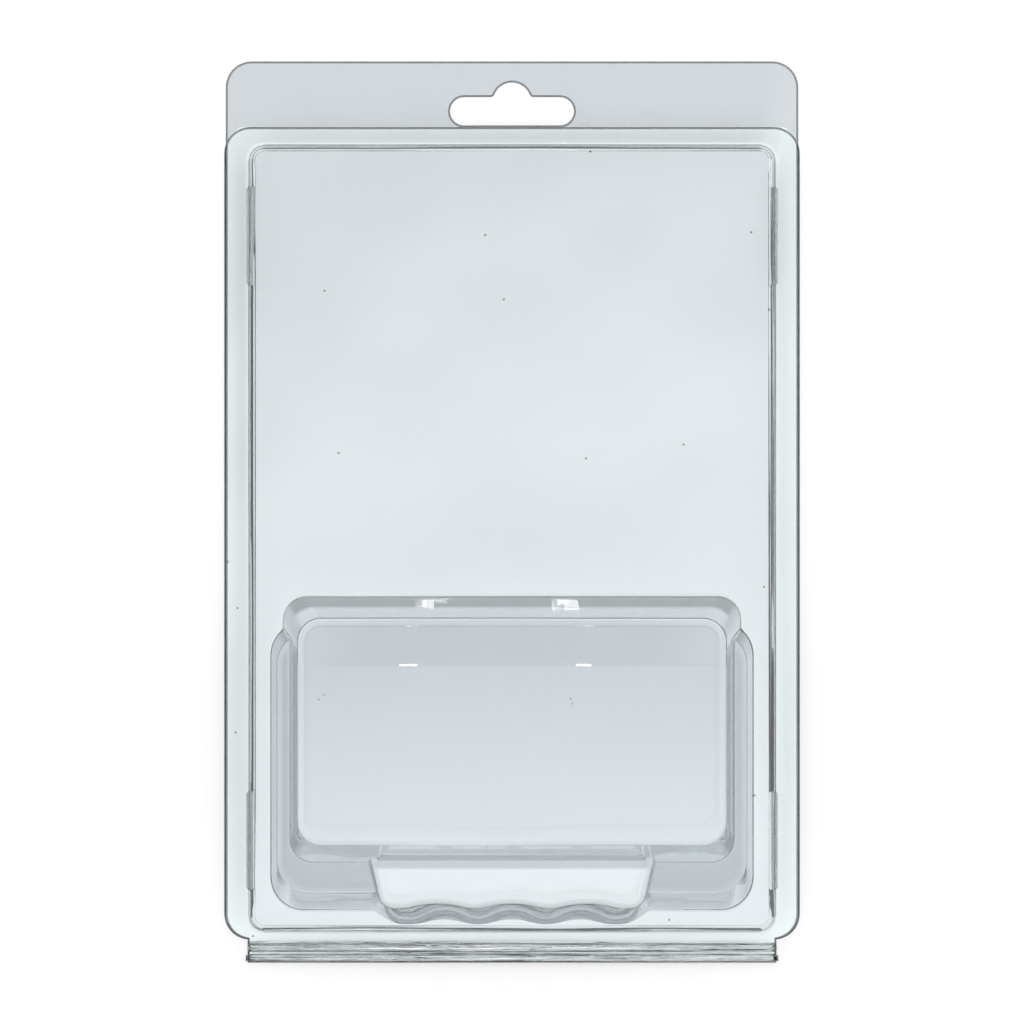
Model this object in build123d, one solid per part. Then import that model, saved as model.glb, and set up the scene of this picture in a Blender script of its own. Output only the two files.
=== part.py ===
from build123d import *
from math import cos, hypot, radians, sin, sqrt, tan
import os

# Clear thermoformed clamshell that protects a carded toy. It lies on its back: X runs across the
# card, Y from the film hinge to the hang tab, Z from the back flange to the face of the toy bubble.
# All sizes are in millimetres and all drafts in degrees.

# Formed film, and the air left between its two halves
SHEET = 0.4
CREASE = 0.8
FLANGE_GAP = 0.1
NEST_GAP = 0.3
CARD_GAP = 1.2

# Card tray of the front half, measured where its wall meets the flange
TRAY_WIDTH = 111.9
TRAY_LENGTH = 167.05
TRAY_DEPTH = 4.9
TRAY_CORNER = 3.5
TRAY_DRAFT = 5.0
TRAY_EDGE = 1.3
PLUG_EDGE = 1.0

# Flanges and hang tab
FLANGE_SIDE = 5.15
FLANGE_TOP = 3.75
FLANGE_BOTTOM = 1.7
FLANGE_CORNER = 5.5
BACK_SETBACK = 0.3
TAB_HEIGHT = 14.0

# Beaded film hinge
HINGE_LEAF = 4.9
HINGE_LENGTH = 112.3
HINGE_BEADS = 2
HINGE_BEAD_RADIUS = 1.05
HINGE_BEAD_PITCH = 2.2
HINGE_BEAD_GAP = 0.2
HINGE_BLEND = 0.15

# Hanging slot in the tab
SLOT_WIDTH = 26.3
SLOT_HEIGHT = 6.0
SLOT_ABOVE_FLANGE = 0.4
SLOT_HUMP_RADIUS = 4.0
SLOT_HUMP_RISE = 3.1
SLOT_BLEND = 1.0

# Snap bars on the long walls, measured where they meet the wall
SNAP_LENGTH = 21.0
SNAP_HEIGHT = 2.2
SNAP_PROUD = 0.5
SNAP_DRAFT = 45.0
SNAP_RISE = 2.05
SNAP_FROM_TRAY_END = 19.5
PLUG_SNAP_HEIGHT = 1.2
PLUG_SNAP_PROUD = 0.25

# Toy bubble, measured where it meets the panel
BUBBLE_LENGTH = 59.75
BUBBLE_DEPTH = 34.0
BUBBLE_FROM_TRAY_SIDE = 7.55
BUBBLE_ABOVE_TRAY_END = 11.5
BUBBLE_CORNER = 5.0
BUBBLE_DRAFT = 7.0
BUBBLE_LOW_DRAFT = 15.0
BUBBLE_EDGE = 2.0

# Skirt step round the bubble, measured where it meets the panel
SKIRT_LENGTH = 60.9
SKIRT_DEPTH = 15.5
SKIRT_FROM_TRAY_SIDE = 4.95
SKIRT_ABOVE_TRAY_END = 4.9
SKIRT_CORNER = 7.0
SKIRT_DRAFT = 7.0
SKIRT_LOW_DRAFT = 17.0
SKIRT_EDGE = 1.8

# Scalloped foot below the bubble, measured at the flange
FOOT_WIDTH = 60.5
FOOT_LENGTH = 28.0
FOOT_SPREAD = 2.6
FOOT_DEPTH = 20.5
FOOT_ABOVE_TRAY_END = 0.8
FOOT_CORNER_SHARE = 0.95
FOOT_DRAFT = 13.0
FOOT_EDGE = 2.0
SCALLOP_GROOVES = 3
SCALLOP_PITCH = 14.4
SCALLOP_DEPTH = 1.0

# Levels through the closed case
BACK_TOP = SHEET
FRONT_BOTTOM = BACK_TOP + FLANGE_GAP
FRONT_TOP = FRONT_BOTTOM + SHEET
PANEL_TOP = FRONT_TOP + TRAY_DEPTH
PLUG_TOP = PANEL_TOP - SHEET - CARD_GAP
SNAP_LEVEL = FRONT_TOP + SNAP_RISE

# Stations from the fold line up to the top of the tab
CASE_LENGTH = HINGE_LEAF + FLANGE_BOTTOM + TRAY_LENGTH + FLANGE_TOP + TAB_HEIGHT
FOLD_Y = -CASE_LENGTH / 2
FLANGE_LOW_Y = FOLD_Y + HINGE_LEAF
TRAY_LOW_Y = FLANGE_LOW_Y + FLANGE_BOTTOM
TRAY_HIGH_Y = TRAY_LOW_Y + TRAY_LENGTH
FLANGE_HIGH_Y = TRAY_HIGH_Y + FLANGE_TOP
TAB_TOP_Y = FLANGE_HIGH_Y + TAB_HEIGHT
FRONT_WIDTH = TRAY_WIDTH + 2 * FLANGE_SIDE
BACK_WIDTH = FRONT_WIDTH - 2 * BACK_SETBACK

# How far forms run on past the face that ends them, and how near two places count as one
RUN_ON = 2.0
TOUCH = 0.005

# Width of a flat that cuts a square corner back as far as a round of radius one does
FLAT_SHARE = 2 - sqrt(2)


def wall_inset(skin, draft):
    """Plan offset that, with a drop by the skin's thickness, moves a drafted wall in by it."""
    return skin * (1 - sin(radians(draft))) / cos(radians(draft))


def rounded_plan(width, low, high, radius, level):
    """Rounded rectangle between two Y stations, at a level."""
    return Pos(0, (low + high) / 2, level) * RectangleRounded(width, high - low, radius)


def soften(edges, radius, flat):
    """Round edges, or cut them to flats that reach as deep as a round would."""
    if flat:
        return chamfer(edges, FLAT_SHARE * radius)
    return fillet(edges, radius)


def soften_top(block, radius, flat):
    """Soften the edge of a block's top face."""
    return soften(block.faces().sort_by(Axis.Z)[-1].edges(), radius, flat)


def join(form, block, radius, flat):
    """Form with a block added and the crease between them softened."""
    joined = form + block
    return soften(new_edges(form, block, combined=joined), radius, flat)


def drafted_block(width, low, high, corner, levels, draft, skin):
    """Rounded block that narrows by the same draft all round as it rises.

    width, low, high and corner hold at the reference level. levels are the root, the reference
    and the top. skin shrinks the block to the inside of a wall of that thickness.
    """
    root, reference, top = levels
    spread = (reference - root) * tan(radians(draft)) - wall_inset(skin, draft)
    radius = corner + spread
    plan = rounded_plan(width + 2 * spread, low - spread, high + spread, radius, root - skin)
    return extrude(plan, top - root, taper=draft)


def tray_block(skin):
    """Form of the card tray, from below the flange up to the panel."""
    levels = (FRONT_BOTTOM - RUN_ON, FRONT_TOP, PANEL_TOP)
    ends = (TRAY_LOW_Y, TRAY_HIGH_Y)
    block = drafted_block(TRAY_WIDTH, *ends, TRAY_CORNER, levels, TRAY_DRAFT, skin)
    return soften_top(block, TRAY_EDGE - skin, flat=skin > 0)


def plug_block(skin):
    """Form of the plug that backs the card, nested in the tray with clearance all round."""
    nest = SHEET + NEST_GAP
    levels = (FRONT_BOTTOM - RUN_ON, FRONT_TOP, PLUG_TOP + nest)
    ends = (TRAY_LOW_Y, TRAY_HIGH_Y)
    block = drafted_block(TRAY_WIDTH, *ends, TRAY_CORNER, levels, TRAY_DRAFT, nest + skin)
    return soften_top(block, PLUG_EDGE - skin, flat=True)


def hipped_block(width, low, high, corner, levels, drafts, skin):
    """Round-cornered block with plane walls, whose low end has a draft of its own.

    width, low and high hold at the reference level. levels are the root, the reference and the
    top. drafts are that of the low end and that of the other walls. skin shrinks the block to the
    inside of a wall of that thickness.
    """
    root, reference, top = levels
    low_slope, slope = [tan(radians(draft)) for draft in drafts]
    low_spread, spread = [
        (reference - root) * tan(radians(draft)) - wall_inset(skin, draft) for draft in drafts
    ]
    rise = top - root
    base_width = width + 2 * spread
    base_length = high - low + spread + low_spread
    near = (rise * slope, rise * slope)
    far = (base_width - rise * slope, base_length - rise * low_slope)
    align = (Align.MIN, Align.MIN, Align.MIN)
    block = Rot(90, 0, 0) * Wedge(base_width, rise, base_length, *near, *far, align=align)
    block = Pos(-base_width / 2, high + spread, root - skin) * block
    level_edges = block.edges().filter_by(Axis.X) + block.edges().filter_by(Axis.Y)
    return fillet(block.edges() - level_edges, corner - skin)


def bubble_block(skin):
    """Form of the toy bubble, from inside the tray up to its face, with a flatter low end."""
    low = TRAY_LOW_Y + BUBBLE_ABOVE_TRAY_END
    levels = (FRONT_TOP, PANEL_TOP, PANEL_TOP + BUBBLE_DEPTH)
    width = TRAY_WIDTH - 2 * BUBBLE_FROM_TRAY_SIDE
    drafts = (BUBBLE_LOW_DRAFT, BUBBLE_DRAFT)
    block = hipped_block(width, low, low + BUBBLE_LENGTH, BUBBLE_CORNER, levels, drafts, skin)
    return soften_top(block, BUBBLE_EDGE - skin, flat=skin > 0)


def skirt_block(skin):
    """Form of the skirt step round the lower part of the bubble, with a flatter low end."""
    low = TRAY_LOW_Y + SKIRT_ABOVE_TRAY_END
    levels = (FRONT_TOP, PANEL_TOP, PANEL_TOP + SKIRT_DEPTH)
    width = TRAY_WIDTH - 2 * SKIRT_FROM_TRAY_SIDE
    drafts = (SKIRT_LOW_DRAFT, SKIRT_DRAFT)
    block = hipped_block(width, low, low + SKIRT_LENGTH, SKIRT_CORNER, levels, drafts, skin)
    return soften_top(block, SKIRT_EDGE - skin, flat=skin > 0)


def foot_block(skin):
    """Form of the foot: slanted sides, round corners and a scalloped low end."""
    inset = wall_inset(skin, FOOT_DRAFT)
    half_low = FOOT_WIDTH / 2 - inset
    half_high = half_low + FOOT_SPREAD
    low = TRAY_LOW_Y + FOOT_ABOVE_TRAY_END + inset
    high = low + FOOT_LENGTH
    pitch = SCALLOP_PITCH
    quarter = pitch / 4
    bend = low + SCALLOP_DEPTH / 2
    grooves = [(index - (SCALLOP_GROOVES - 1) / 2) * pitch for index in range(SCALLOP_GROOVES)]
    start = (grooves[0] - 2 * quarter, low)
    end = (grooves[-1] + 2 * quarter, low)
    edges = [Line((-half_low, low), start)]
    edges.append(TangentArc(start, (grooves[0] - quarter, bend), tangent=(1, 0)))
    for groove in grooves:
        left = (groove - quarter, bend)
        right = (groove + quarter, bend)
        edges.append(ThreePointArc(left, (groove, low + SCALLOP_DEPTH), right))
    for groove in grooves[:-1]:
        left = (groove + quarter, bend)
        right = (groove + 3 * quarter, bend)
        edges.append(ThreePointArc(left, (groove + 2 * quarter, low), right))
    edges.append(TangentArc(end, (grooves[-1] + quarter, bend), tangent=(-1, 0)))
    edges.append(Line(end, (half_low, low)))
    edges.append(Polyline((half_low, low), (half_high, high), (-half_high, high), (-half_low, low)))
    outline = make_face(Curve() + edges)
    corners = [v for v in outline.vertices() if v.Y < bend and abs(v.X) > end[0] + TOUCH]
    outline = fillet(corners, FOOT_CORNER_SHARE * (half_low - end[0]))
    plan = Pos(0, 0, FRONT_TOP - skin) * outline
    block = extrude(plan, TRAY_DEPTH + FOOT_DEPTH, taper=FOOT_DRAFT)
    return soften_top(block, FOOT_EDGE - skin, flat=skin > 0)


def snap_bars(wall_x, height, proud, skin):
    """Drafted bars that stand proud of both long walls, near the tray's two ends."""
    root = SHEET * tan(radians(SNAP_DRAFT)) - wall_inset(skin, SNAP_DRAFT)
    plan = Rectangle(height + 2 * root, SNAP_LENGTH + 2 * root)
    bar = Rot(0, 90, 0) * extrude(plan, proud + SHEET, taper=SNAP_DRAFT)
    bars = []
    for y in (TRAY_LOW_Y + SNAP_FROM_TRAY_END, TRAY_HIGH_Y - SNAP_FROM_TRAY_END):
        right = Pos(wall_x - SHEET - skin, y, SNAP_LEVEL) * bar
        bars += [right, mirror(right, Plane.YZ)]
    return bars


def hinge_leaf(bottom, bead_radius, rim):
    """Beaded strip that runs from a rim at or near the fold line to the flange."""
    low = FOLD_Y + rim
    high = FLANGE_LOW_Y + FLANGE_BOTTOM / 2
    profile = Pos((low + high) / 2, bottom + SHEET / 2) * Rectangle(high - low, SHEET)
    places = []
    for index in range(HINGE_BEADS):
        places.append(Pos(FOLD_Y + HINGE_BEAD_RADIUS + index * HINGE_BEAD_PITCH, bottom))
    profile += [place * Circle(bead_radius) for place in places]
    profile -= [place * Circle(bead_radius - SHEET) for place in places]
    profile -= Pos((low + high) / 2, bottom - RUN_ON) * Rectangle(high - low + 2 * RUN_ON, 2 * RUN_ON)
    creases = [v for v in profile.vertices() if abs(v.Y - bottom - SHEET) < TOUCH]
    creases = [v for v in creases if low + TOUCH < v.X < high - TOUCH]
    return extrude(Plane.YZ * fillet(creases, HINGE_BLEND), HINGE_LENGTH / 2, both=True)


def hanging_slot():
    """Cutter for the hanging slot: a round-ended slot with a hump over its middle."""
    middle = FLANGE_HIGH_Y + SLOT_ABOVE_FLANGE + SLOT_HEIGHT / 2
    hump_y = middle + SLOT_HEIGHT / 2 + SLOT_HUMP_RISE - SLOT_HUMP_RADIUS
    outline = Pos(0, middle) * SlotOverall(SLOT_WIDTH, SLOT_HEIGHT)
    outline += Pos(0, hump_y) * Circle(SLOT_HUMP_RADIUS)
    shoulders = [v for v in outline.vertices() if abs(v.X) < SLOT_HUMP_RADIUS + SLOT_BLEND]
    outline = fillet(shoulders, SLOT_BLEND)
    return extrude(Pos(0, 0, BACK_TOP / 2) * outline, RUN_ON, both=True)


def flange_slab(width, low, high, top, skin):
    """Rounded slab under a half, run on past its outline where it cuts the inside of the sheet."""
    margin = 2 * RUN_ON * skin / SHEET
    plan = rounded_plan(width + 2 * margin, low - margin, high + margin, FLANGE_CORNER, top - skin)
    return extrude(plan, -SHEET - margin)


def front_half():
    """Lid of the case: flange, card tray, toy bubble, snap bars and front hinge leaf."""
    wall_x = TRAY_WIDTH / 2 - SNAP_RISE * tan(radians(TRAY_DRAFT))
    forms = []
    for skin in (0.0, SHEET):
        slab = flange_slab(FRONT_WIDTH, FLANGE_LOW_Y, FLANGE_HIGH_Y, FRONT_TOP, skin)
        form = join(slab, tray_block(skin), CREASE + skin, flat=True)
        form = join(form, skirt_block(skin), CREASE + skin, flat=True)
        if skin == 0:
            form = join(form, bubble_block(skin), CREASE, flat=False)
        else:
            form += bubble_block(skin)
        form += foot_block(skin)
        forms.append(form + snap_bars(wall_x, SNAP_HEIGHT, SNAP_PROUD, skin))
    sheet = forms[0] - forms[1]
    return sheet + hinge_leaf(FRONT_BOTTOM, HINGE_BEAD_RADIUS, HINGE_BEAD_RADIUS)


def back_half():
    """Base of the case: flange, hang tab, card plug, snap bars and back hinge leaf."""
    nest = SHEET + NEST_GAP
    wall_x = TRAY_WIDTH / 2 - (SNAP_RISE + nest) * tan(radians(TRAY_DRAFT))
    wall_x -= wall_inset(nest, TRAY_DRAFT)
    forms = []
    for skin in (0.0, SHEET):
        slab = flange_slab(BACK_WIDTH, FLANGE_LOW_Y, TAB_TOP_Y, BACK_TOP, skin)
        form = join(slab, plug_block(skin), CREASE + skin, flat=True)
        forms.append(form + snap_bars(wall_x, PLUG_SNAP_HEIGHT, PLUG_SNAP_PROUD, skin))
    sheet = forms[0] - forms[1] - hanging_slot()
    nested_bead = HINGE_BEAD_RADIUS - SHEET - HINGE_BEAD_GAP
    return sheet + hinge_leaf(0.0, hypot(nested_bead, FRONT_BOTTOM), 0.0)


os.makedirs("parts", exist_ok=True)
export_step(back_half(), "parts/back_half.step")
export_step(front_half(), "parts/front_half.step")
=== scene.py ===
import math

import bmesh
import bpy
from bpy.props import FloatProperty, FloatVectorProperty, PointerProperty
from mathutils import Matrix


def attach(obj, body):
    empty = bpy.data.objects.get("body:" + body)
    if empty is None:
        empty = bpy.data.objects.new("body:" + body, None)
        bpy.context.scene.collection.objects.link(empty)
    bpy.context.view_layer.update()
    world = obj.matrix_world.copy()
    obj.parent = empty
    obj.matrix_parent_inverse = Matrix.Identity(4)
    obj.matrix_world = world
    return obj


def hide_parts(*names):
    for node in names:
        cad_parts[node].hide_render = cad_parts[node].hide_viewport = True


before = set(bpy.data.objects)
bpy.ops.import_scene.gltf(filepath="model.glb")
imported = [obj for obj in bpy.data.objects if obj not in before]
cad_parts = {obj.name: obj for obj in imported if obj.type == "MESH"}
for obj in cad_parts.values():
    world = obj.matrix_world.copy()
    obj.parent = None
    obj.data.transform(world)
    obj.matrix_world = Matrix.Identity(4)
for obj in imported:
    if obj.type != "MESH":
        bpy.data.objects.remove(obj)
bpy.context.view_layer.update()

bl_info = {
    "name": "Clear clamshell case",
    "version": (1, 0, 0),
    "blender": (4, 5, 0),
    "location": "View3D > Sidebar > Case",
    "description": "Finishes a clear film case for a carded toy and sets up its studio",
    "category": "Object",
}

# Lengths are in metres: X across the case, Y from the hinge to the hanging tab, Z up to the
# bubble's face. A pair of numbers is a range over which something sets in or fades.

# The hanging tab begins at this Y, and cuts the flange's corners off where |X| and Y add up to
# TAB_CORNER. TAB_BLUR softens both borders.
TAB_FROM = 0.0817
TAB_CORNER = 0.1396
TAB_BLUR = 0.0002

# Both flanges and the hinge lie below FLANGE_TOP, and the hinge leaves lie below HINGE_EDGE in Y.
FLANGE_TOP = 0.0013
HINGE_EDGE = (-0.0908, -0.0914)

# Heights of the panel, the skirt's ledge, the foot's top and the bubble's face. Tints change
# over SOFT_EDGE there.
PANEL_TOP = 0.0060
LEDGE_FROM, LEDGE_TO = 0.0195, 0.0225
FOOT_TOP = 0.0265
FACE_FROM = 0.0385
SOFT_EDGE = 0.0003

# Painted shade on the bubble's face: it gets darker towards the top over the first range in Y. A
# line crosses it above, past which it is painted darker still; that darker band fades out over the
# last range in |X|.
FACE_SHADE_FADE = (-0.0736, -0.0326)
FACE_SHADE_LINE = -0.0316
FACE_SHADE_LINE_BLUR = 0.0008
FACE_SHADE_LINE_FADE = (0.043, 0.030)

# Room that the scalloped foot takes up, and how much wider than its straight draft it is at the
# top and at the bubble.
FOOT_REACH = 0.034
FOOT_LOW, FOOT_HIGH = -0.0883, -0.0705
FOOT_WIDENING = 0.06
FOOT_SPREAD = 0.09

# Painted shade on the foot's rounded rim and its cove: the rim sets in just below the foot's top,
# and the cove begins at this Y and ends at this height.
FOOT_RIM = (0.0258, 0.0256)
COVE_FROM = (-0.0746, -0.0740)
COVE_TOP = (0.0305, 0.0300)

# The foot's scalloped wall lies within these |X| and below these Y. A dark line of painted shade
# runs under its rim, between two heights and up to RIM_LINE_REACH in Y.
FOOT_SIDE = (0.028, 0.030)
FOOT_BACK = (-0.0805, -0.0795)
RIM_LINE_FROM = (0.0235, 0.0243)
RIM_LINE_TO = (0.0251, 0.0247)
RIM_LINE_REACH = (-0.0735, -0.0745)

# Painted shade: the bubble's top wall is darkest between its foot and where it fades.
TOP_WALL_FOOT = (0.0060, 0.0064)
TOP_WALL_FADE = (0.0205, 0.0255)

# Ranges of the normal: |Z| from steep to level, and Y for the low walls and the top walls.
STEEP_TO_LEVEL = (0.25, 0.985)
LOW_WALL_FACING = (-0.5, -0.8)
TOP_WALL_FACING = (0.5, 0.7)

# Facing of Layer Weight, from a steep sheet seen face on to one seen along its surface, over which
# the steep sheets' painted shade sets in.
FACE_ON_TO_GRAZING = (0.15, 0.66)

# Draw lines down the walls: how many a metre along each axis, detail and contrast.
LINES_PER_METRE = (3.0, 3.0, 260.0)
LINE_DETAIL = 2.0
LINE_CONTRAST = (-0.08, 0.14)

# Specks of dirt: cells a metre, edge of a speck in cells, and the cells that have one.
CELLS_PER_METRE = 55.0
SPECK_EDGE = (0.014, 0.008)
SPECK_PICK = (0.66, 0.67)

# Relief of the film: slow waves that are weaker on the face, crinkles along the hinge, the step
# along the line that bounds the face's darkest painted shade, and the crown that softens the
# rounds.
WAVES_PER_METRE = (22.0, 22.0, 22.0)
WAVE_DETAIL = 1.0
WAVE_HEIGHT = 0.0003
FACE_CALM = 0.7
CRINKLES_PER_METRE = (22.0, 950.0, 950.0)
CRINKLE_DETAIL = 3.0
CRINKLE_HEIGHT = 0.0014
FACE_SHADE_LINE_STEP = -0.000059
FACE_SHADE_LINE_STEP_BLUR = 0.0002
CROWN_HEIGHT = 0.00015

FILM_IOR = 1.57

# Building the skin: merging distance, least normal Z of a low upper face, and angles in degrees.
MERGE = 1e-6
UPPER_FACING = 0.03
COPLANAR_ANGLE = 0.5
SHARP_ANGLE = 50.0
# The crease behind the foot: how far at most it lies under the foot's top, its least angle, and
# the shares of the cove's run and rise by which the cove's middle leaves it.
FOOT_CREASE_DEPTH = 0.0003
FOOT_CREASE_ANGLE = 60.0
COVE_RUN_SHARE = 0.2
COVE_RISE_SHARE = 0.25

# Studio: floor, soft dome by height, and the darker sweep overhead that the level film mirrors.
FLOOR_WHITE = 0.95
DOME = ((0.05, (0.3, 0.31, 0.32)), (0.45, (1.0, 1.0, 1.0)))
SWEEP = ((0.0, (0.05, 0.05, 0.05)), (0.45, (0.62, 0.62, 0.62)), (1.0, (1.0, 1.0, 1.0)))
SWEEP_DIRECTION = (0.28, -0.96, 0.0)
SWEEP_RANGE = (-0.062, 0.075)
OVERHEAD = (0.90, 0.975)
# X of each bulb, and their common Y and size.
BULBS = {"bulb_left": -0.041, "bulb_right": 0.029}
BULB_Y = 0.315
BULB_SIZE = (0.006, 0.045)
SENSOR_WIDTH = 36.0
CLIP_END = 10.0


def tint(name, description, default):
    """Colour property."""
    return FloatVectorProperty(
        name=name,
        description=description,
        default=default,
        size=3,
        subtype="COLOR",
        min=0.0,
        max=1.0,
    )


def share(name, description, default):
    """Property from 0 to 1."""
    return FloatProperty(
        name=name, description=description, default=default, min=0.0, max=1.0, subtype="FACTOR"
    )


def length(name, description, default):
    """Property in metres."""
    return FloatProperty(name=name, description=description, default=default, unit="LENGTH")


def strength(name, description, default):
    """Property from 0 up."""
    return FloatProperty(name=name, description=description, default=default, min=0.0)


class FilmSettings(bpy.types.PropertyGroup):
    """Finish of the clear film, with painted light and shade in its tints."""

    flat_tint: tint("Flat tint", "What one level sheet lets through", (0.945, 0.975, 0.99))
    flange_tint: tint("Flange tint", "What one flange lets through", (0.955, 0.99, 1.0))
    # Painted shade: the hanging tab gets a much darker tint than the flanges.
    tab_shade_tint: tint(
        "Tab tint", "What the undrawn, thicker hanging tab lets through", (0.685, 0.725, 0.755)
    )
    # The three face tints below paint shade on the bubble's face: darker towards the top, and
    # darkest past the line across it.
    face_low_shade_tint: tint(
        "Low face tint", "What the bubble's face lets through at its low end", (0.87, 0.91, 0.94)
    )
    face_high_shade_tint: tint(
        "Face tint", "What the bubble's face lets through below the chill line", (0.73, 0.775, 0.81)
    )
    face_band_shade_tint: tint(
        "Chill tint",
        "What the bubble's face lets through above the chill line",
        (0.665, 0.71, 0.745),
    )
    # Painted shade: the skirt's ledge gets a darker tint than the level film.
    ledge_shade_tint: tint("Ledge tint", "What the skirt's ledge lets through", (0.60, 0.64, 0.67))
    # Painted shade: the foot's rounded rim and cove get a darker tint.
    round_shade_tint: tint(
        "Round tint",
        "What the rounded rim and the cove of the foot let through",
        (0.66, 0.70, 0.73),
    )
    clear_tint: tint(
        "Clear tint", "What one steep sheet lets through, seen face on", (0.93, 0.955, 0.965)
    )
    # Painted shade: steep sheets seen at a glance get these dark tints, with lighter draw lines.
    steep_shade_tint: tint(
        "Wall tint", "What one steep sheet lets through at a glance", (0.28, 0.315, 0.345)
    )
    line_shade_tint: tint(
        "Line tint",
        "What the draw lines along a steep sheet let through at a glance",
        (0.33, 0.365, 0.395),
    )
    # Painted light: the low walls, which face towards the hinge, and the upper top wall get a
    # lighter tint than the other steep sheets.
    lit_wall_tint: tint(
        "Low wall tint",
        "What the low walls of bubble and skirt let through at a glance",
        (0.66, 0.72, 0.76),
    )
    # Painted shade: the near-black tint at the foot of the bubble's top wall and under the foot's
    # rim.
    deep_shade_tint: tint(
        "Top wall tint",
        "What the foot of the bubble's top wall lets through at a glance",
        (0.04, 0.046, 0.05),
    )
    # Painted shade: the dark outline along the film's cut edges.
    cut_edge_shade_tint: tint("Cut edge tint", "What a cut edge lets through", (0.16, 0.18, 0.19))
    speck_tint: tint("Speck tint", "What a speck of dirt lets through", (0.5, 0.52, 0.53))
    flange_shade: share(
        "Flange shade", "Share of lamp light that passes each face of a flange", 0.995
    )
    flat_shade: share(
        "Flat shade", "Share of lamp light that passes each face of a level sheet", 0.958
    )
    wall_shade: share(
        "Wall shade", "Share of lamp light that passes each face of a steep sheet", 0.93
    )
    haze: share("Haze", "Roughness of the film's faces", 0.003)
    thickness: length("Thickness", "Thickness of the film", 0.0004)
    cove_run: length(
        "Cove run", "How far the cove behind the foot reaches out over the foot's top", 0.0026
    )
    cove_rise: length(
        "Cove rise", "How far the cove behind the foot reaches up the bubble's wall", 0.0024
    )
    edge_roll: length("Edge roll", "Width over which a cut edge rolls down", 0.0003)


class StudioSettings(bpy.types.PropertyGroup):
    """Floor, lamps and camera."""

    camera_distance: length("Camera distance", "From the case's back up to the camera", 1.4)
    view_width: length("View width", "Width of floor that the picture takes in", 0.2175)
    sky_strength: strength("Sky strength", "Brightness of the soft studio dome", 1.25)
    bulb_power: strength("Bulb power", "Power of each of the two small lamps", 0.02)
    lamp_height: length("Lamp height", "From the case's back up to the lamps", 1.3)
    floor_size: length("Floor size", "Side of the square floor", 4.0)


class Graph:
    """Node tree with short ways to add its nodes."""

    def __init__(self, tree):
        self.nodes = tree.nodes
        self.links = tree.links

    def feed(self, socket, value):
        """Link a socket to another one, or set its value."""
        if isinstance(value, bpy.types.NodeSocket):
            self.links.new(value, socket)
        else:
            socket.default_value = value

    def split(self, vector):
        """Outputs X, Y and Z of a vector."""
        node = self.nodes.new("ShaderNodeSeparateXYZ")
        self.feed(node.inputs["Vector"], vector)
        return node.outputs

    def ramp(self, value, low, high):
        """0 at low to 1 at high."""
        node = self.nodes.new("ShaderNodeMapRange")
        self.feed(node.inputs["Value"], value)
        self.feed(node.inputs["From Min"], low)
        self.feed(node.inputs["From Max"], high)
        return node.outputs["Result"]

    def blend(self, portion, first, second):
        """Colour from first at portion 0 to second at portion 1."""
        node = self.nodes.new("ShaderNodeMix")
        node.data_type = "RGBA"
        self.feed(node.inputs["Factor"], portion)
        for name, colour in (("A", first), ("B", second)):
            linked = isinstance(colour, bpy.types.NodeSocket)
            self.feed(node.inputs[name], colour if linked else (*colour, 1.0))
        return node.outputs["Result"]

    def gradient(self, value, stops):
        """Colour that runs through stops of place and colour."""
        node = self.nodes.new("ShaderNodeValToRGB")
        self.feed(node.inputs["Fac"], value)
        elements = node.color_ramp.elements
        while len(elements) < len(stops):
            elements.new(1.0)
        for element, (position, colour) in zip(elements, stops):
            element.position = position
            element.color = (*colour, 1.0)
        return node.outputs["Color"]

    def math(self, operation, *values):
        """Value of a math node."""
        node = self.nodes.new("ShaderNodeMath")
        node.operation = operation
        for socket, value in zip(node.inputs, values):
            self.feed(socket, value)
        return node.outputs["Value"]

    def product(self, first, *others):
        """All values multiplied."""
        for other in others:
            first = self.math("MULTIPLY", first, other)
        return first

    def total(self, first, *others):
        """All values added."""
        for other in others:
            first = self.math("ADD", first, other)
        return first

    def mix(self, portion, first, second):
        """Shader from first at portion 0 to second at portion 1."""
        node = self.nodes.new("ShaderNodeMixShader")
        for socket, value in zip(node.inputs, (portion, first, second)):
            self.feed(socket, value)
        return node.outputs["Shader"]


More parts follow.
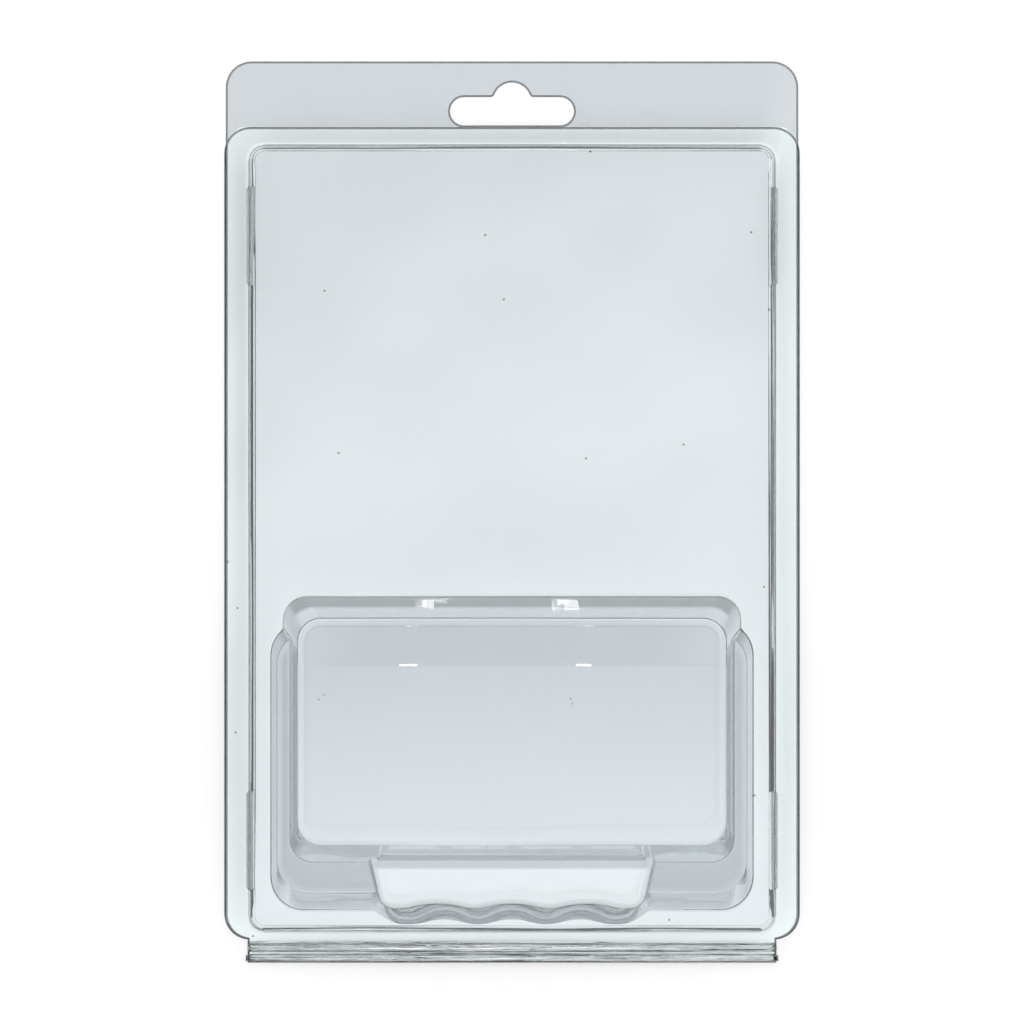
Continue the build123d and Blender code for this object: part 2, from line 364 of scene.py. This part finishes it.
class FilmGraph(Graph):
    """Node tree that knows where on the case it is and which way the film faces."""

    def __init__(self, tree):
        super().__init__(tree)
        place = self.nodes.new("ShaderNodeTexCoord")
        self.spot = place.outputs["Object"]
        x, self.along, self.height = self.split(self.spot)
        self.across = self.math("ABSOLUTE", x)
        facing = self.split(place.outputs["Normal"])
        self.facing_up_case = facing["Y"]
        self.flat = self.ramp(self.math("ABSOLUTE", facing["Z"]), *STEEP_TO_LEVEL)
        self.off_flange = self.above(FLANGE_TOP)
        self.on_face = self.above(FACE_FROM)

    def above(self, height):
        """1 above a height."""
        return self.ramp(self.height, height, height + SOFT_EDGE)

    def below(self, height):
        """1 below a height."""
        return self.ramp(self.height, height, height - SOFT_EDGE)

    def past(self, value, border, blur):
        """1 where a value is past a border that is blurred to both sides."""
        return self.ramp(value, border - blur, border + blur)

    def noise(self, per_metre, detail):
        """Noise around 0 with its own scale along each axis."""
        stretch = self.nodes.new("ShaderNodeVectorMath")
        stretch.operation = "MULTIPLY"
        self.feed(stretch.inputs[0], self.spot)
        self.feed(stretch.inputs[1], per_metre)
        node = self.nodes.new("ShaderNodeTexNoise")
        self.feed(node.inputs["Vector"], stretch.outputs["Vector"])
        self.feed(node.inputs["Scale"], 1.0)
        self.feed(node.inputs["Detail"], detail)
        return self.math("SUBTRACT", node.outputs["Fac"], 0.5)

    def specks(self):
        """1 on a few specks of dirt."""
        cells = self.nodes.new("ShaderNodeTexVoronoi")
        cells.voronoi_dimensions = "2D"
        self.feed(cells.inputs["Vector"], self.spot)
        self.feed(cells.inputs["Scale"], CELLS_PER_METRE)
        colour = self.nodes.new("ShaderNodeSeparateColor")
        self.feed(colour.inputs["Color"], cells.outputs["Color"])
        on_speck = self.ramp(cells.outputs["Distance"], *SPECK_EDGE)
        return self.product(on_speck, self.ramp(colour.outputs["Red"], *SPECK_PICK))


def level_tint(graph, film):
    """Tint of the level parts of the film, with painted shade on the tab, the bubble's face, the
    skirt's ledge and the foot's rounds.
    """
    # Painted shade: the hanging tab takes its darker tint here.
    on_tab = graph.math(
        "MAXIMUM",
        graph.past(graph.along, TAB_FROM, TAB_BLUR),
        graph.past(graph.total(graph.across, graph.along), TAB_CORNER, TAB_BLUR),
    )
    flange = graph.blend(on_tab, film.flange_tint, film.tab_shade_tint)
    colour = graph.blend(graph.off_flange, flange, film.flat_tint)

    # Painted shade: the face darkens towards the top, and is darker still past the line across it.
    up_face_shade = graph.ramp(graph.along, *FACE_SHADE_FADE)
    past_face_shade_line = graph.product(
        graph.past(graph.along, FACE_SHADE_LINE, FACE_SHADE_LINE_BLUR), graph.ramp(graph.across, *FACE_SHADE_LINE_FADE)
    )
    face = graph.blend(up_face_shade, film.face_low_shade_tint, film.face_high_shade_tint)
    face = graph.blend(past_face_shade_line, face, film.face_band_shade_tint)
    colour = graph.blend(graph.on_face, colour, face)

    # Painted shade on the skirt's ledge.
    on_ledge = graph.product(graph.above(LEDGE_FROM), graph.below(LEDGE_TO))
    colour = graph.blend(on_ledge, colour, film.ledge_shade_tint)

    # Painted shade on the foot's rounded rim and in its cove.
    in_cove = graph.ramp(graph.along, *COVE_FROM)
    on_rim = graph.ramp(graph.height, *FOOT_RIM)
    on_shaded_round = graph.product(
        graph.math("MAXIMUM", in_cove, on_rim),
        graph.above(LEDGE_TO),
        graph.ramp(graph.height, *COVE_TOP),
    )
    colour = graph.blend(on_shaded_round, colour, film.round_shade_tint)
    return graph.blend(graph.specks(), colour, film.speck_tint)


def steep_tint(graph, film):
    """Tint of the steep parts of the film, with painted shade that makes them darker at a glance
    than face on.
    """
    lines = graph.ramp(graph.noise(LINES_PER_METRE, LINE_DETAIL), *LINE_CONTRAST)
    colour = graph.blend(lines, film.steep_shade_tint, film.line_shade_tint)

    off_foot = graph.math(
        "MAXIMUM",
        graph.ramp(graph.across, *FOOT_SIDE),
        graph.ramp(graph.along, *FOOT_BACK),
    )
    # Painted light: the low walls facing towards the hinge are lighter than the other steep sheets.
    on_low_wall = graph.product(graph.ramp(graph.facing_up_case, *LOW_WALL_FACING), off_foot)
    colour = graph.blend(on_low_wall, colour, film.lit_wall_tint)

    # Painted shade: the bubble's top wall is near black at its foot and lighter higher up.
    up_top_wall = graph.ramp(graph.height, *TOP_WALL_FADE)
    top_wall_shade = graph.blend(up_top_wall, film.deep_shade_tint, film.lit_wall_tint)
    on_top_wall = graph.product(
        graph.ramp(graph.facing_up_case, *TOP_WALL_FACING),
        graph.ramp(graph.height, *TOP_WALL_FOOT),
    )
    colour = graph.blend(on_top_wall, colour, top_wall_shade)

    # Painted shade: a dark line under the foot's rim.
    under_rim = graph.product(
        graph.ramp(graph.height, *RIM_LINE_FROM),
        graph.ramp(graph.height, *RIM_LINE_TO),
        graph.ramp(graph.along, *RIM_LINE_REACH),
    )
    colour = graph.blend(under_rim, colour, film.deep_shade_tint)

    # The steep sheets' painted shade sets in as they are seen more at a glance.
    glance = graph.nodes.new("ShaderNodeLayerWeight")
    glance.inputs["Blend"].default_value = 0.5
    grazing = graph.ramp(glance.outputs["Facing"], *FACE_ON_TO_GRAZING)
    return graph.blend(grazing, film.clear_tint, colour)


def film_tint(graph, film):
    """Tint of the whole film, with painted shade on its cut edges."""
    colour = graph.blend(graph.flat, steep_tint(graph, film), level_tint(graph, film))
    cut = graph.nodes.new("ShaderNodeAttribute")
    cut.attribute_name = "cut_edge"
    return graph.blend(cut.outputs["Fac"], colour, film.cut_edge_shade_tint)


def film_normal(graph):
    """Normal of the film's surface with its relief."""
    wavy = graph.math("SUBTRACT", graph.flat, graph.product(graph.on_face, FACE_CALM))
    waves = graph.product(graph.noise(WAVES_PER_METRE, WAVE_DETAIL), WAVE_HEIGHT, wavy)
    on_hinge = graph.ramp(graph.along, *HINGE_EDGE)
    crinkles = graph.product(
        graph.noise(CRINKLES_PER_METRE, CRINKLE_DETAIL), CRINKLE_HEIGHT, on_hinge
    )
    # The step runs along the line past which the face is painted darker.
    past_face_shade_line = graph.past(graph.along, FACE_SHADE_LINE, FACE_SHADE_LINE_STEP_BLUR)
    step = graph.product(past_face_shade_line, graph.on_face, FACE_SHADE_LINE_STEP)
    crown = graph.product(graph.flat, CROWN_HEIGHT)
    bump = graph.nodes.new("ShaderNodeBump")
    bump.inputs["Distance"].default_value = 1.0
    graph.feed(bump.inputs["Height"], graph.total(waves, crown, crinkles, step))
    return bump.outputs["Normal"]


def film_shade(graph, film):
    """Share of lamp light that the film lets through, as a grey."""
    flange, level, steep = (
        (value,) * 3 for value in (film.flange_shade, film.flat_shade, film.wall_shade)
    )
    return graph.blend(graph.flat, steep, graph.blend(graph.off_flange, flange, level))


def new_material(name):
    """Node material with nothing but its output."""
    material = bpy.data.materials.new(name)
    material.use_nodes = True
    material.node_tree.nodes.clear()
    output = material.node_tree.nodes.new("ShaderNodeOutputMaterial")
    return material, output.inputs["Surface"]


def clear_film():
    """Clear film that refracts what lies behind it and lets the studio's light through."""
    film = bpy.context.scene.case_film
    material, surface = new_material("clear_film")
    graph = FilmGraph(material.node_tree)
    gloss = graph.nodes.new("ShaderNodeBsdfPrincipled")
    gloss.distribution = "GGX"
    graph.feed(gloss.inputs["Base Color"], film_tint(graph, film))
    graph.feed(gloss.inputs["Normal"], film_normal(graph))
    gloss.inputs["Roughness"].default_value = film.haze
    gloss.inputs["IOR"].default_value = FILM_IOR
    gloss.inputs["Transmission Weight"].default_value = 1.0
    through = graph.nodes.new("ShaderNodeBsdfTransparent")
    graph.feed(through.inputs["Color"], film_shade(graph, film))
    path = graph.nodes.new("ShaderNodeLightPath")
    shader = gloss.outputs["BSDF"]
    for ray in ("Is Shadow Ray", "Is Diffuse Ray"):
        shader = graph.mix(path.outputs[ray], shader, through.outputs["BSDF"])
    graph.feed(surface, shader)
    return material


def upper_skin(node):
    """Bmesh of a half's upper side, merged, up to its cut edges."""
    skin = bmesh.new()
    skin.from_mesh(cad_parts[node].data)
    bmesh.ops.remove_doubles(skin, verts=skin.verts, dist=MERGE)
    bmesh.ops.dissolve_degenerate(skin, dist=MERGE, edges=skin.edges)
    skin.normal_update()
    first = max(skin.faces, key=lambda face: face.calc_area() * face.normal.z)
    kept = {first}
    front = [first]
    while front:
        for edge in front.pop().edges:
            for face in edge.link_faces:
                low = max(vert.co.z for vert in face.verts) < FLANGE_TOP
                if face not in kept and not (low and face.normal.z < UPPER_FACING):
                    kept.add(face)
                    front.append(face)
    dropped = [face for face in skin.faces if face not in kept]
    bmesh.ops.delete(skin, geom=dropped, context="FACES")
    bmesh.ops.dissolve_limit(
        skin, angle_limit=math.radians(COPLANAR_ANGLE), verts=skin.verts, edges=skin.edges
    )
    return skin


def by_foot(vert):
    """Whether a vertex of a skin lies in the room that the foot takes up, at any height."""
    return abs(vert.co.x) < FOOT_REACH and vert.co.y < FOOT_HIGH


def steepen_foot(skin):
    """Stand the foot's sides up, with their creases sliding along the walls they meet."""
    for vert in skin.verts:
        if by_foot(vert) and PANEL_TOP < vert.co.z < FOOT_TOP:
            rise = (vert.co.z - PANEL_TOP) / (FOOT_TOP - PANEL_TOP)
            run = (vert.co.y - FOOT_LOW) / (FOOT_HIGH - FOOT_LOW)
            vert.co.x *= 1.0 + FOOT_WIDENING * rise + FOOT_SPREAD * run


def is_creased(edge, degrees):
    """Whether two faces meet at an edge, at more than an angle."""
    return len(edge.link_faces) == 2 and edge.calc_face_angle() > math.radians(degrees)


def cut_face(skin, face, point, normal):
    """Cut one face of a skin along a plane."""
    around = [face, *face.edges, *face.verts]
    bmesh.ops.bisect_plane(skin, geom=around, dist=MERGE, plane_co=point, plane_no=normal)


def cove_foot_crease(skin):
    """Lay a cove in the crease where the foot's top runs into the bubble's low wall."""
    film = bpy.context.scene.case_film
    lowest = FOOT_TOP - FOOT_CREASE_DEPTH
    creases = [
        edge for edge in skin.edges
        if all(by_foot(vert) and lowest < vert.co.z < FOOT_TOP for vert in edge.verts)
        and is_creased(edge, FOOT_CREASE_ANGLE)
    ]
    if not creases:
        return
    crease = max(creases, key=lambda edge: edge.calc_length())
    side, back, up = (abs(value) for value in crease.verts[0].co)

    def wall():
        """Steeper face at the crease, which changes with each cut."""
        return min(crease.link_faces, key=lambda face: face.normal.z)

    top = max(crease.link_faces, key=lambda face: face.normal.z)
    cut_face(skin, top, (0.0, -back - film.cove_run, 0.0), (0.0, 1.0, 0.0))
    cut_face(skin, wall(), (side, 0.0, 0.0), (1.0, 0.0, 0.0))
    cut_face(skin, wall(), (-side, 0.0, 0.0), (1.0, 0.0, 0.0))
    cut_face(skin, wall(), (0.0, 0.0, up + film.cove_rise), (0.0, 0.0, 1.0))
    for vert in crease.verts:
        vert.co.y -= film.cove_run * COVE_RUN_SHARE
        vert.co.z += film.cove_rise * COVE_RISE_SHARE


def mark_creases(skin):
    """Keep the shading of a skin from running across its sharp creases."""
    for edge in skin.edges:
        if is_creased(edge, SHARP_ANGLE):
            edge.smooth = False


def roll_edges(skin):
    """Roll the cut edges of a skin down a little, and mark them for the dark outline painted into
    the film's tint.
    """
    roll = bpy.context.scene.case_film.edge_roll
    cut = skin.faces.layers.float.new("cut_edge")
    rim = {vert for edge in skin.edges if edge.is_boundary for vert in edge.verts}
    rolled = bmesh.ops.inset_region(
        skin, faces=skin.faces, use_boundary=True, use_even_offset=True, thickness=roll
    )
    for face in rolled["faces"]:
        face[cut] = 1.0
    for vert in rim:
        if vert.is_valid and vert.is_boundary:
            vert.co.z -= roll


def film_half(name, node, body, material):
    """Half of the case as one skin of film with its thickness added below."""
    skin = upper_skin(node)
    steepen_foot(skin)
    cove_foot_crease(skin)
    mark_creases(skin)
    roll_edges(skin)
    for face in skin.faces:
        face.smooth = True
    mesh = bpy.data.meshes.new(name)
    skin.to_mesh(mesh)
    skin.free()
    mesh.materials.append(material)
    half = bpy.data.objects.new(name, mesh)
    bpy.context.scene.collection.objects.link(half)
    wall = half.modifiers.new("Film thickness", "SOLIDIFY")
    wall.thickness = bpy.context.scene.case_film.thickness
    wall.offset = -1.0
    wall.use_even_offset = True
    normals = half.modifiers.new("Weighted normals", "WEIGHTED_NORMAL")
    normals.keep_sharp = True
    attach(half, body)
    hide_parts(node)


def lay_floor(scene):
    """White floor that the rolled edges of the case lie on."""
    studio = scene.case_studio
    below = (0.0, 0.0, -scene.case_film.edge_roll)
    bpy.ops.mesh.primitive_plane_add(size=studio.floor_size, location=below)
    floor = bpy.context.object
    floor.name = "floor"
    material, surface = new_material("floor_white")
    graph = Graph(material.node_tree)
    paper = graph.nodes.new("ShaderNodeBsdfDiffuse")
    paper.inputs["Color"].default_value = (FLOOR_WHITE, FLOOR_WHITE, FLOOR_WHITE, 1.0)
    graph.feed(surface, paper.outputs["BSDF"])
    floor.data.materials.append(material)


def light_dome(scene):
    """Soft dome of light that is darker low down and in a sweep overhead."""
    world = bpy.data.worlds.new("studio")
    scene.world = world
    # The dome is so even that bounced rays find its light by themselves, which is quicker.
    world.cycles.sampling_method = "NONE"
    world.use_nodes = True
    graph = Graph(world.node_tree)
    direction = graph.nodes.new("ShaderNodeTexCoord").outputs["Generated"]
    height = graph.split(direction)["Z"]
    across = graph.nodes.new("ShaderNodeVectorMath")
    across.operation = "DOT_PRODUCT"
    graph.feed(across.inputs[0], direction)
    graph.feed(across.inputs[1], SWEEP_DIRECTION)
    sweep = graph.gradient(graph.ramp(across.outputs["Value"], *SWEEP_RANGE), SWEEP)
    sky = graph.blend(graph.ramp(height, *OVERHEAD), graph.gradient(height, DOME), sweep)
    background = graph.nodes["Background"]
    graph.feed(background.inputs["Color"], sky)
    background.inputs["Strength"].default_value = scene.case_studio.sky_strength


def hang_bulb(scene, name, x):
    """Narrow lamp at the studio's lamp height, turned to the case."""
    data = bpy.data.lights.new(name, "AREA")
    data.shape = "RECTANGLE"
    data.size, data.size_y = BULB_SIZE
    data.energy = scene.case_studio.bulb_power
    bulb = bpy.data.objects.new(name, data)
    scene.collection.objects.link(bulb)
    bulb.location = (x, BULB_Y, scene.case_studio.lamp_height)
    bulb.rotation_euler = (-bulb.location).to_track_quat("-Z", "Y").to_euler()


def aim_camera(scene):
    """Camera that looks straight down on the case."""
    studio = scene.case_studio
    data = bpy.data.cameras.new("camera")
    data.sensor_width = SENSOR_WIDTH
    data.lens = SENSOR_WIDTH * studio.camera_distance / studio.view_width
    data.clip_end = CLIP_END
    camera = bpy.data.objects.new("camera", data)
    scene.collection.objects.link(camera)
    camera.location = (0.0, 0.0, studio.camera_distance)
    scene.camera = camera


class CASE_OT_form_halves(bpy.types.Operator):
    """Form both halves of the case from clear film"""

    bl_idname = "case.form_halves"
    bl_label = "Form halves"

    def execute(self, context):
        material = clear_film()
        film_half("back_film", "back_half", "back", material)
        film_half("front_film", "front_half", "lid", material)
        return {"FINISHED"}


class CASE_OT_set_stage(bpy.types.Operator):
    """Lay the floor, hang the lamps and aim the camera"""

    bl_idname = "case.set_stage"
    bl_label = "Set stage"

    def execute(self, context):
        scene = context.scene
        scene.view_settings.view_transform = "Standard"
        lay_floor(scene)
        light_dome(scene)
        for name, x in BULBS.items():
            hang_bulb(scene, name, x)
        aim_camera(scene)
        return {"FINISHED"}


class CASE_PT_panel(bpy.types.Panel):
    """Buttons that build the case's looks"""

    bl_idname = "CASE_PT_panel"
    bl_label = "Clear clamshell case"
    bl_space_type = "VIEW_3D"
    bl_region_type = "UI"
    bl_category = "Case"

    def draw(self, context):
        layout = self.layout
        for operator in OPERATORS:
            layout.operator(operator.bl_idname)
        for settings in (context.scene.case_film, context.scene.case_studio):
            box = layout.box()
            for name in settings.__annotations__:
                box.prop(settings, name)


OPERATORS = (CASE_OT_form_halves, CASE_OT_set_stage)
CLASSES = (FilmSettings, StudioSettings, *OPERATORS, CASE_PT_panel)


def register():
    for cls in CLASSES:
        bpy.utils.register_class(cls)
    bpy.types.Scene.case_film = PointerProperty(type=FilmSettings)
    bpy.types.Scene.case_studio = PointerProperty(type=StudioSettings)


def unregister():
    del bpy.types.Scene.case_studio
    del bpy.types.Scene.case_film
    for cls in reversed(CLASSES):
        bpy.utils.unregister_class(cls)


def main():
    register()
    bpy.ops.case.form_halves()
    bpy.ops.case.set_stage()


if __name__ == "__main__":
    main()
